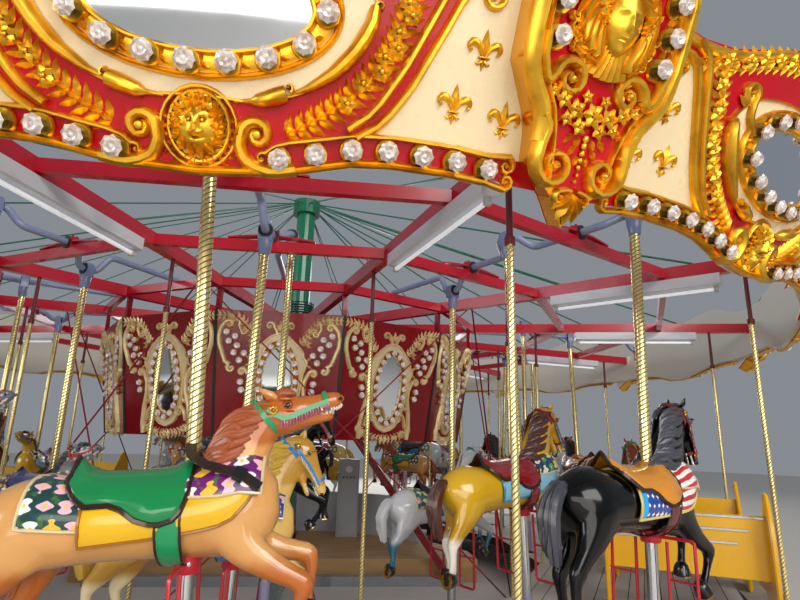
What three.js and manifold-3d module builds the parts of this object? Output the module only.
// Fairground carousel with thirty jumping horses and two bench chariots.
// Millimetres, +Z up, origin on the axis of turning at ground level.
// Horses travel anticlockwise seen from above.
import * as THREE from 'three';
import { mergeVertices } from 'three/addons/utils/BufferGeometryUtils.js';
import Module from 'manifold-3d';

const wasm = await Module();
wasm.setup();

// Driving dimensions
const BAYS = 12;
const BAY_ANGLE = 2 * Math.PI / BAYS;
const HALF_BAY = BAY_ANGLE / 2;
const CHARIOT_BAYS = [5, 11];
const SEAM = 0.3;
const LAP = 10;
const CUTTER = 3000;

const SWEEP_Z = 2880;
const SWEEP = { width: 64, height: 100, inner: 200, outer: 5140 };
const SWEEP_LOW = SWEEP_Z - SWEEP.height / 2;
const SWEEP_HIGH = SWEEP_Z + SWEEP.height / 2;
const TIE = { width: 50, height: 75, radii: [2120, 3150, 4200] };
const LAMP = { inner: 3300, outer: 4560, width: 95, height: 70 };

const MAST = { radius: 115, top: 4450, bore: 116.5, sides: 16 };
const HUB = { radius: 300, height: 120, sides: 24 };
const HEAD = { radius: 170, bottom: 4380, top: 4560 };
const STAY = { radius: 8, sides: 4, headRadius: 160, headZ: 4500, feet: [3360, 4400] };
const LEG = { size: 80, top: 2640, foot: 1930, beamHeight: 100, beamWidth: 120, beamEnd: 2060 };
const COLLECTOR = { radius: 160, bottom: 3080, top: 3180 };

const SHAFT = { z: 2950, radius: 25, sides: 6, clearance: 0.6, inner: 1985, outer: 4490 };
const THROW = 150;
const THROW_HALF = { shaft: 140, pin: 75 };
const BEARING = { length: 60, width: 96, cap: 42 };
const PHASE_STEP = 2 * Math.PI / 3;

// Angle of the outer throw of each bay at rest, in degrees
const PHASES = [250, 80, 320, 140, 215, 0, 330, 290, 5, 160, 30, 0];

const ROWS = [
  { name: 'inner', radius: 2830, scale: 0.76, leans: false },
  { name: 'middle', radius: 3550, scale: 0.88, leans: true },
  { name: 'outer', radius: 4380, scale: 1.0, leans: true },
];

const DECK = { top: 380, thickness: 90, inner: 2720, outer: 4900, rimSides: 36 };
const JOIST = { height: 80, width: 60, inset: 20, rim: 60 };
const ROD = { radius: 14.5, inner: 2850, outer: 4720, sides: 6 };
const SWAY = { radius: 8, sides: 4, top: 2450, apart: 30, bottom: 2840, bottomZ: 335 };
const TUBE = { radius: 32, bottomMean: 172 };
const SLOT = { length: 2 * (THROW + TUBE.radius + 25), width: 2 * (TUBE.radius + 10) };

const DRUM = { top: 2635, bottom: 1580, topRadius: 2120, bottomRadius: 1950, wall: 40 };
const DRUM_POST = { width: 40, foot: 60 };
const BOARD = { radius: 5224, slope: 0.54, thickness: 40, steps: 8 };
const BOARD_TILT = Math.atan(BOARD.slope);
const SHIELD = { back: -12, front: 90 };
const BRACKET = { end: 5215, halfWidth: 50, overlap: 20 };
const CENTRE = { radius: 2350, front: 125, top: 250 };
const SCREEN = { radius: 2080, wall: 40, height: 560, from: 35, to: 145, steps: 8 };
const CABINET = { x: 760, y: 1690, width: 300, depth: 250, height: 1050 };

const RED = { color: 0xc01414, roughness: 0.4, metalness: 0.1 };
const GREEN = { color: 0x0d6b4a, roughness: 0.4, metalness: 0.2 };
const BLUE_GREY = { color: 0x8d97b5, roughness: 0.45, metalness: 0.4 };
const CREAM = { color: 0xd9c39a, roughness: 0.4, metalness: 0.1 };
const DECK_GREY = { color: 0x9a948c, roughness: 0.8, metalness: 0.0 };
const WOOD = { color: 0xa98c62, roughness: 0.8, metalness: 0.0 };
const STEEL_GREY = { color: 0x9aa0a6, roughness: 0.5, metalness: 0.3 };
const YELLOW = { color: 0xe8b810, roughness: 0.35, metalness: 0.0 };

// Closed meshes are joined and cut as manifolds
function toSolid(geometry) {
  const bare = geometry.clone();
  bare.deleteAttribute('normal');
  bare.deleteAttribute('uv');
  const merged = mergeVertices(bare, 1e-3);
  const mesh = new wasm.Mesh({
    numProp: 3,
    vertProperties: new Float32Array(merged.attributes.position.array),
    triVerts: new Uint32Array(merged.index.array),
  });
  return new wasm.Manifold(mesh);
}

function toGeometry(solid) {
  const mesh = solid.getMesh();
  const geometry = new THREE.BufferGeometry();
  geometry.setAttribute('position', new THREE.BufferAttribute(new Float32Array(mesh.vertProperties), 3));
  geometry.setIndex(new THREE.BufferAttribute(new Uint32Array(mesh.triVerts), 1));
  return geometry;
}

function joined(solids) {
  return solids.reduce((whole, solid) => whole.add(solid));
}

// Turns a geometry drawn for the bay middle along +X to an angle about the axis
function turned(geometry, angle) {
  return geometry.clone().rotateZ(angle);
}

// Box between two corners
function block(low, high) {
  const size = high.map((value, i) => value - low[i]);
  const box = new THREE.BoxGeometry(size[0], size[1], size[2]);
  return box.translate((low[0] + high[0]) / 2, (low[1] + high[1]) / 2, (low[2] + high[2]) / 2);
}

// Upright cylinder from one height to another
function upright(radius, bottom, top, sides, x = 0, y = 0) {
  const cylinder = new THREE.CylinderGeometry(radius, radius, top - bottom, sides, 1);
  return cylinder.rotateX(Math.PI / 2).translate(x, y, (bottom + top) / 2);
}

// Ring of revolution about the axis from a closed profile of [radius, z] points
function ring(profile, segments, phase) {
  const points = profile.map(([r, z]) => new THREE.Vector2(r, z));
  points.push(points[0].clone());
  const lathe = new THREE.LatheGeometry(points, segments, phase);
  return lathe.rotateX(Math.PI / 2);
}

// Bar of round section along a line of points, with mitred corners
function bentBar(points, radius, sides) {
  const path = points.map((p) => new THREE.Vector3(...p));
  const count = path.length;
  const steps = path.slice(1).map((p, i) => p.clone().sub(path[i]).normalize());
  const bar = new THREE.CylinderGeometry(radius, radius, 1, sides, count - 1);
  const first = new THREE.Quaternion().setFromUnitVectors(new THREE.Vector3(0, -1, 0), steps[0]);
  const position = bar.attributes.position;
  const vertex = new THREE.Vector3();
  for (let i = 0; i < position.count; i++) {
    vertex.fromBufferAttribute(position, i);
    const row = Math.round((0.5 - vertex.y) * (count - 1));
    vertex.y = 0;
    vertex.applyQuaternion(first).add(path[0]);
    for (let k = 1; k <= row; k++) {
      const ahead = steps[Math.min(k, count - 2)];
      const normal = steps[k - 1].clone().add(ahead);
      const distance = normal.dot(path[k].clone().sub(vertex)) / normal.dot(steps[k - 1]);
      vertex.addScaledVector(steps[k - 1], distance);
    }
    position.setXYZ(i, vertex.x, vertex.y, vertex.z);
  }
  return bar;
}

// Plate drawn as [y, z] points, with thickness along X
function plate(outline, back, front, holes = []) {
  const shape = new THREE.Shape(outline.map(([y, z]) => new THREE.Vector2(y, z)));
  shape.holes = holes.map((hole) => new THREE.Path(hole.map(([y, z]) => new THREE.Vector2(y, z))));
  const slab = new THREE.ExtrudeGeometry(shape, { depth: front - back, bevelEnabled: false });
  const basis = new THREE.Matrix4().makeBasis(
    new THREE.Vector3(0, 1, 0), new THREE.Vector3(0, 0, 1), new THREE.Vector3(1, 0, 0));
  return slab.applyMatrix4(basis).translate(back, 0, 0);
}

// Mirrors a half outline, given from the middle outwards, about y = 0
function mirrored(half) {
  const other = half.filter(([y]) => y > 0).map(([y, z]) => [-y, z]).reverse();
  return [...half, ...other];
}

function polygon(radius, sides, y, z) {
  const points = [];
  for (let i = 0; i < sides; i++) {
    const angle = i * 2 * Math.PI / sides;
    points.push([y + radius * Math.cos(angle), z + radius * Math.sin(angle)]);
  }
  return points;
}

const bayIndices = Array.from({ length: BAYS }, (_, i) => i);
const horseBays = bayIndices.filter((i) => !CHARIOT_BAYS.includes(i));
const bayAngle = (bay) => bay * BAY_ANGLE;
const sweepAngle = (bay) => (bay + 0.5) * BAY_ANGLE;
const holeRadius = (SHAFT.radius + SHAFT.clearance) / Math.cos(Math.PI / SHAFT.sides);

const carousel = new THREE.Group();

function addNode(name, geometry, look) {
  const mesh = new THREE.Mesh(geometry, new THREE.MeshStandardMaterial(look));
  mesh.name = name;
  carousel.add(mesh);
  return mesh;
}

// Fixed centre: mast on four diagonal legs and a cross of ground beams
function mastSolid() {
  const profile = [[0, 0], [MAST.radius, 0], [MAST.radius, COLLECTOR.bottom],
    [COLLECTOR.radius, COLLECTOR.bottom], [COLLECTOR.radius, COLLECTOR.top],
    [MAST.radius, COLLECTOR.top], [MAST.radius, MAST.top], [0, MAST.top]];
  const column = new THREE.LatheGeometry(profile.map(([r, z]) => new THREE.Vector2(r, z)), MAST.sides);
  const parts = [toSolid(column.rotateX(Math.PI / 2))];
  const half = LEG.size / 2;
  for (let i = 0; i < 4; i++) {
    const angle = i * Math.PI / 2;
    const leg = bentBar([[0, 0, LEG.top], [LEG.foot, 0, LEG.beamHeight / 2]], half * Math.SQRT2, 4);
    const beam = block([0, -LEG.beamWidth / 2, 0], [LEG.beamEnd, LEG.beamWidth / 2, LEG.beamHeight]);
    parts.push(toSolid(turned(leg, angle)), toSolid(turned(beam, angle)));
  }
  const ground = block([-CUTTER, -CUTTER, -CUTTER], [CUTTER, CUTTER, 0]);
  return joined(parts).subtract(toSolid(ground));
}

// Wooden platform behind the mast, notched for the back leg
function platformSolid() {
  const disc = new THREE.CylinderGeometry(CENTRE.radius, CENTRE.radius, CENTRE.top, BAYS, 1);
  disc.rotateX(Math.PI / 2).rotateZ(HALF_BAY).translate(0, 0, CENTRE.top / 2);
  const frontCut = block([-CUTTER, -CUTTER, -LAP], [CUTTER, CENTRE.front, CUTTER]);
  const clear = LEG.beamWidth / 2 + SEAM;
  const notch = block([-clear, CENTRE.front - LAP, -LAP], [clear, LEG.beamEnd + LAP, CUTTER]);
  return toSolid(disc).subtract(toSolid(frontCut)).subtract(toSolid(notch));
}

// Curved sheet-metal screen that stands on the platform
function screenSolid() {
  const shape = new THREE.Shape();
  const from = THREE.MathUtils.degToRad(SCREEN.from);
  const to = THREE.MathUtils.degToRad(SCREEN.to);
  shape.absarc(0, 0, SCREEN.radius + SCREEN.wall, from, to, false);
  shape.absarc(0, 0, SCREEN.radius, to, from, true);
  const settings = { depth: SCREEN.height, bevelEnabled: false, curveSegments: SCREEN.steps };
  const wall = new THREE.ExtrudeGeometry(shape, settings);
  return wall.translate(0, 0, CENTRE.top + SEAM);
}

function cabinetBox() {
  const { x, y, width, depth, height } = CABINET;
  const low = [x - width / 2, y - depth / 2, CENTRE.top + SEAM];
  return block(low, [x + width / 2, y + depth / 2, CENTRE.top + height]);
}

addNode('mast', toGeometry(mastSolid()), GREEN);
addNode('centre_platform', toGeometry(platformSolid()), WOOD);
addNode('centre_screen', screenSolid(), STEEL_GREY);
addNode('control_cabinet', cabinetBox(), STEEL_GREY);

// Ring that turns about the mast
function collar(radius, bottom, top) {
  const profile = [[MAST.bore, bottom], [radius, bottom], [radius, top], [MAST.bore, top]];
  return ring(profile, HUB.sides, 0);
}

// Turning frame: hub, twelve sweeps, three rings of ties, bearings and lamps
function bearingBlock(x) {
  const tieTop = SWEEP_Z + TIE.height / 2 - LAP / 2;
  const half = BEARING.width / 2;
  const top = SHAFT.z + BEARING.cap;
  const outline = [[-half, tieTop], [half, tieTop], [half, top], [-half, top]];
  const hole = polygon(holeRadius, SHAFT.sides, 0, SHAFT.z);
  return plate(outline, x - BEARING.length / 2, x + BEARING.length / 2, [hole]);
}

function sweepFrame() {
  const hub = collar(HUB.radius, SWEEP_Z - HUB.height / 2, SWEEP_Z + HUB.height / 2);
  const parts = [toSolid(hub)];
  const sweep = block([SWEEP.inner, -SWEEP.width / 2, SWEEP_LOW], [SWEEP.outer, SWEEP.width / 2, SWEEP_HIGH]);
  const lamp = block([LAMP.inner, -LAMP.width / 2, SWEEP_LOW - LAMP.height],
    [LAMP.outer, LAMP.width / 2, SWEEP_LOW + LAP]);
  for (const bay of bayIndices) {
    for (const piece of [sweep, lamp]) {
      parts.push(toSolid(turned(piece, sweepAngle(bay))));
    }
    for (const radius of TIE.radii) {
      const x = radius * Math.cos(HALF_BAY);
      const end = radius * Math.sin(HALF_BAY) - LAP / 2;
      const tie = block([x - TIE.width / 2, -end, SWEEP_Z - TIE.height / 2],
        [x + TIE.width / 2, end, SWEEP_Z + TIE.height / 2]);
      parts.push(toSolid(turned(tie, bayAngle(bay))));
      if (horseBays.includes(bay) && radius !== TIE.radii[0]) {
        parts.push(toSolid(turned(bearingBlock(x), bayAngle(bay))));
      }
    }
  }
  return joined(parts);
}
addNode('sweep_frame', toGeometry(sweepFrame()), RED);

// Head on the mast top and the stays from it to the sweeps
function headAndStays() {
  const parts = [toSolid(collar(HEAD.radius, HEAD.bottom, HEAD.top))];
  for (const bay of bayIndices) {
    for (const foot of STAY.feet) {
      const fall = STAY.headZ - SWEEP_HIGH;
      const run = foot - STAY.headRadius;
      const lift = SEAM + STAY.radius * run / Math.hypot(run, fall);
      const stay = bentBar([[STAY.headRadius - LAP, 0, STAY.headZ], [foot, 0, SWEEP_HIGH + lift]],
        STAY.radius, STAY.sides);
      parts.push(toSolid(turned(stay, sweepAngle(bay))));
    }
  }
  return joined(parts);
}
addNode('mast_head_and_stays', toGeometry(headAndStays()), GREEN);

// Angle of the throw that carries a row, counted from the outer one
const throwPhase = (bay, row) => Math.PI / 180 * PHASES[bay] + row * PHASE_STEP;

function pinCentre(bay, rowIndex) {
  const phase = throwPhase(bay, ROWS.length - 1 - rowIndex);
  return [ROWS[rowIndex].radius, THROW * Math.cos(phase), SHAFT.z + THROW * Math.sin(phase)];
}

// Lean of a horse at rest, which stands its lower tube over the bay middle at the deck
function restLean(bay, rowIndex) {
  const [, y, z] = pinCentre(bay, rowIndex);
  return ROWS[rowIndex].leans ? -Math.asin(y / (z - DECK.top)) : 0;
}

// Crank shaft along the middle of a bay, bent from one round bar
function crankShaft(bay) {
  const points = [[SHAFT.inner, 0, SHAFT.z]];
  ROWS.forEach((row, index) => {
    const [x, y, z] = pinCentre(bay, index);
    points.push([x - THROW_HALF.shaft, 0, SHAFT.z], [x - THROW_HALF.pin, y, z]);
    if (row.name === 'outer') {
      points.push([SHAFT.outer, y, z]);
    } else {
      points.push([x + THROW_HALF.pin, y, z], [x + THROW_HALF.shaft, 0, SHAFT.z]);
    }
  });
  return bentBar(points, SHAFT.radius, SHAFT.sides);
}

const bayTag = (bay) => String(bay * 360 / BAYS).padStart(3, '0');

horseBays.forEach((bay) => {
  addNode(`crank_${bayTag(bay)}`, crankShaft(bay), BLUE_GREY).rotation.z = bayAngle(bay);
});

// Jumping horse with its hanger, pole, collar, lower tube and foot rests.
// Drawn about the crank pin: X outwards, Y the way it travels, Z up.
const HORSE_OUTLINE = [
  [0, 40], [-180, -30], [-350, -30], [-490, 30], [-740, -90], [-860, -300], [-850, -560], [-800, -800],
  [-690, -800], [-640, -520], [-400, -360], [0, -370], [230, -350], [420, -480], [300, -700], [430, -720],
  [520, -420], [330, -200], [330, 60], [500, 170], [620, 240], [640, 310], [330, 440], [60, 100],
];

// Half widths of the tail, head and neck, legs, rump and chest, and body, and where each begins
const HALF_WIDTH = { tail: 60, head: 75, legs: 105, ends: 90, body: 150 };
const BEGINS = { tail: -680, head: 80, legs: -430, ends: 560 };

function horseHalfWidth(y, z) {
  if (y < BEGINS.tail) return HALF_WIDTH.tail;
  if (z > BEGINS.head) return HALF_WIDTH.head;
  if (z < BEGINS.legs) return HALF_WIDTH.legs;
  return Math.abs(y) > BEGINS.ends ? HALF_WIDTH.ends : HALF_WIDTH.body;
}

function horseBody(scale) {
  const outline = HORSE_OUTLINE.map(([y, z]) => [y * scale, z * scale]).reverse();
  const slab = plate(outline, -1, 1);
  const position = slab.attributes.position;
  for (let i = 0; i < position.count; i++) {
    const half = scale * horseHalfWidth(position.getY(i) / scale, position.getZ(i) / scale);
    position.setX(i, Math.sign(position.getX(i)) * half);
  }
  return slab.translate(0, 0, -HANG);
}

const POLE = { radius: 26, sides: 6 };
const HANGER = { length: 60, width: 84, top: 50, bottom: -70 };
const HANG = 1500;
const COLLAR = { radius: 54, height: 70, below: 360 };
const REST = { radius: 8, sides: 3, root: 40, reach: 230, gap: 90, drop: 400 };

function horseSolid(row) {
  const half = HANGER.width / 2;
  const outline = [[-half, HANGER.bottom], [half, HANGER.bottom], [half, HANGER.top], [-half, HANGER.top]];
  const hole = polygon(holeRadius, SHAFT.sides, 0, 0);
  const hanger = plate(outline, -HANGER.length / 2, HANGER.length / 2, [hole]);
  const tubeBottom = TUBE.bottomMean - SHAFT.z;
  const collarTop = LAP - HANG - COLLAR.below * row.scale;
  const collarBottom = collarTop - COLLAR.height;
  const parts = [
    hanger,
    upright(POLE.radius, collarTop, HANGER.bottom + LAP, POLE.sides),
    upright(COLLAR.radius, collarBottom, collarTop + LAP, POLE.sides),
    upright(TUBE.radius, tubeBottom, collarBottom + LAP, POLE.sides),
    horseBody(row.scale),
  ];
  const restTop = collarBottom + COLLAR.height / 2;
  for (const side of [-1, 1]) {
    const corners = [[REST.root, restTop], [REST.reach, restTop],
      [REST.reach, restTop - REST.drop], [REST.gap, restTop - REST.drop]];
    parts.push(bentBar(corners.map(([x, z]) => [side * x, 0, z]), REST.radius, REST.sides));
  }
  return joined(parts.map(toSolid));
}

const horseGeometries = ROWS.map((row) => toGeometry(horseSolid(row)));
horseBays.forEach((bay) => {
  ROWS.forEach((row, index) => {
    const [x, y, z] = pinCentre(bay, index);
    const holder = new THREE.Group();
    holder.rotation.z = bayAngle(bay);
    carousel.add(holder);
    const mesh = new THREE.Mesh(horseGeometries[index], new THREE.MeshStandardMaterial(CREAM));
    mesh.name = `horse_${row.name}_${bayTag(bay)}`;
    mesh.position.set(x, y, z);
    mesh.rotation.x = restLean(bay, index);
    holder.add(mesh);
  });
});

// Deck with slots for the lower tubes, joists, platform rods and sway rods
function deckSolid() {
  const corner = DECK.inner / Math.cos(HALF_BAY);
  const bottom = DECK.top - DECK.thickness;
  const hole = new THREE.CylinderGeometry(corner, corner, 2 * DECK.thickness, BAYS, 1);
  hole.rotateX(Math.PI / 2).rotateZ(HALF_BAY).translate(0, 0, DECK.top);
  const disc = upright(DECK.outer, bottom, DECK.top, DECK.rimSides);
  let slab = toSolid(disc).subtract(toSolid(hole));
  for (const bay of horseBays) {
    ROWS.forEach((row, index) => {
      const middle = row.leans ? -pinCentre(bay, index)[1] : 0;
      const slot = block([row.radius - SLOT.width / 2, middle - SLOT.length / 2, bottom - LAP],
        [row.radius + SLOT.width / 2, middle + SLOT.length / 2, DECK.top + LAP]);
      slab = slab.subtract(toSolid(turned(slot, bayAngle(bay))));
    });
  }
  const parts = [slab];
  const joist = block([corner + JOIST.inset, -JOIST.width / 2, bottom - JOIST.height],
    [DECK.outer - JOIST.rim, JOIST.width / 2, bottom + LAP]);
  const rodTop = SWEEP_LOW - SEAM;
  const rodFoot = DECK.top - 2 * LAP;
  const rods = [ROD.inner, ROD.outer].map((x) => upright(ROD.radius, rodFoot, rodTop, ROD.sides, x));
  for (const bay of bayIndices) {
    for (const piece of [joist, ...rods]) {
      parts.push(toSolid(turned(piece, sweepAngle(bay))));
    }
  }
  for (let bay = 0; bay < BAYS; bay += 2) {
    for (const side of [-1, 1]) {
      const from = sweepAngle(bay);
      const to = sweepAngle(bay + side * 2);
      const top = SWAY.top + side * SWAY.apart;
      parts.push(toSolid(bentBar([
        [SWAY.bottom * Math.cos(to), SWAY.bottom * Math.sin(to), SWAY.bottomZ],
        [top * Math.cos(from), top * Math.sin(from), rodTop - SWAY.radius],
      ], SWAY.radius, SWAY.sides)));
    }
  }
  return joined(parts);
}
addNode('deck', toGeometry(deckSolid()), DECK_GREY);

// Inner ring of boards hung below the sweeps around the centre
function drumSolid() {
  const wall = DRUM.wall;
  const shell = ring([[DRUM.bottomRadius - wall, DRUM.bottom], [DRUM.bottomRadius, DRUM.bottom],
    [DRUM.topRadius, DRUM.top], [DRUM.topRadius - wall, DRUM.top]], BAYS, Math.PI / 2 + HALF_BAY);
  const parts = [toSolid(shell)];
  const x = DRUM.topRadius - (wall + DRUM_POST.width) / 2;
  const half = DRUM_POST.width / 2;
  const post = block([x - half, -half, DRUM.top - DRUM_POST.foot], [x + half, half, SWEEP_LOW - SEAM]);
  for (const bay of bayIndices) {
    parts.push(toSolid(turned(post, sweepAngle(bay))));
  }
  return joined(parts);
}
addNode('drum_boards', toGeometry(drumSolid()), RED);

// Outer ring of boards on a cone about the axis, with a shield over each joint.
// Edge heights up the slope from the sweep centreline, from a board's middle to its end.
const BOARD_BOTTOM = [-490, -478, -440, -398, -373, -370, -370, -385, -385];
const BOARD_TOP = [570, 550, 500, 430, 372, 350, 360, 380, 400];
const SHIELD_HALF = [
  [0, -500], [75, -400], [190, -300], [205, -190], [235, -110], [320, 40], [330, 330], [290, 480],
  [170, 620], [0, 700],
];

function boardBand() {
  const back = BOARD.radius - BOARD.thickness;
  const profile = [[back, 0], [BOARD.radius, 0], [BOARD.radius, 1], [back, 1]];
  const band = ring(profile, BAYS * 2 * BOARD.steps, 0);
  const position = band.attributes.position;
  for (let i = 0; i < position.count; i++) {
    const angle = Math.atan2(position.getY(i), position.getX(i));
    const bays = angle / BAY_ANGLE;
    const step = Math.round(Math.abs(bays - Math.round(bays)) * 2 * BOARD.steps);
    const up = THREE.MathUtils.lerp(BOARD_BOTTOM[step], BOARD_TOP[step], position.getZ(i));
    const out = Math.hypot(position.getX(i), position.getY(i)) - BOARD.radius;
    const radius = BOARD.radius + up * Math.sin(BOARD_TILT) + out * Math.cos(BOARD_TILT);
    const z = SWEEP_Z + up * Math.cos(BOARD_TILT) - out * Math.sin(BOARD_TILT);
    position.setXYZ(i, radius * Math.cos(angle), radius * Math.sin(angle), z);
  }
  return band;
}

function boardRing() {
  const parts = [toSolid(boardBand())];
  const shield = plate(mirrored(SHIELD_HALF), SHIELD.back, SHIELD.front);
  shield.rotateY(BOARD_TILT).translate(BOARD.radius, 0, SWEEP_Z);
  const bracket = block([SWEEP.outer + SEAM, -BRACKET.halfWidth, SWEEP_LOW - BRACKET.overlap],
    [BRACKET.end, BRACKET.halfWidth, SWEEP_HIGH + BRACKET.overlap]);
  for (const bay of bayIndices) {
    for (const piece of [shield, bracket]) {
      parts.push(toSolid(turned(piece, sweepAngle(bay))));
    }
  }
  return joined(parts);
}
addNode('rounding_boards', toGeometry(boardRing()), CREAM);

// Chariot with two facing benches between horned side panels
const CHARIOT = { inner: 3480, outer: 4600, wall: 30, floor: DECK.top + SEAM };
const BACKREST = { near: 700, far: 725, bottom: 320, top: 755 };
const BENCH = { near: 310, far: 710, bottom: 350, top: 380 };
const CHARIOT_SIDE = [
  [0, 190], [430, 190], [470, 0], [820, 0], [850, 250], [860, 600], [835, 780], [780, 900], [740, 920],
  [690, 890], [640, 780], [570, 620], [430, 480], [0, 430],
];

function chariotSolid() {
  const floor = CHARIOT.floor;
  const side = mirrored(CHARIOT_SIDE).map(([y, z]) => [y, z + floor]);
  const parts = [
    plate(side, CHARIOT.inner, CHARIOT.inner + CHARIOT.wall),
    plate(side, CHARIOT.outer - CHARIOT.wall, CHARIOT.outer),
  ];
  for (const board of [BACKREST, BENCH]) {
    const half = block([CHARIOT.inner + LAP, board.near, floor + board.bottom],
      [CHARIOT.outer - LAP, board.far, floor + board.top]);
    parts.push(half, half.clone().rotateZ(Math.PI).translate(CHARIOT.inner + CHARIOT.outer, 0, 0));
  }
  return joined(parts.map(toSolid));
}
const chariotGeometry = toGeometry(chariotSolid());
CHARIOT_BAYS.forEach((bay) => {
  addNode(`chariot_${bay * 30}`, chariotGeometry, YELLOW).rotation.z = bayAngle(bay);
});

export default carousel;
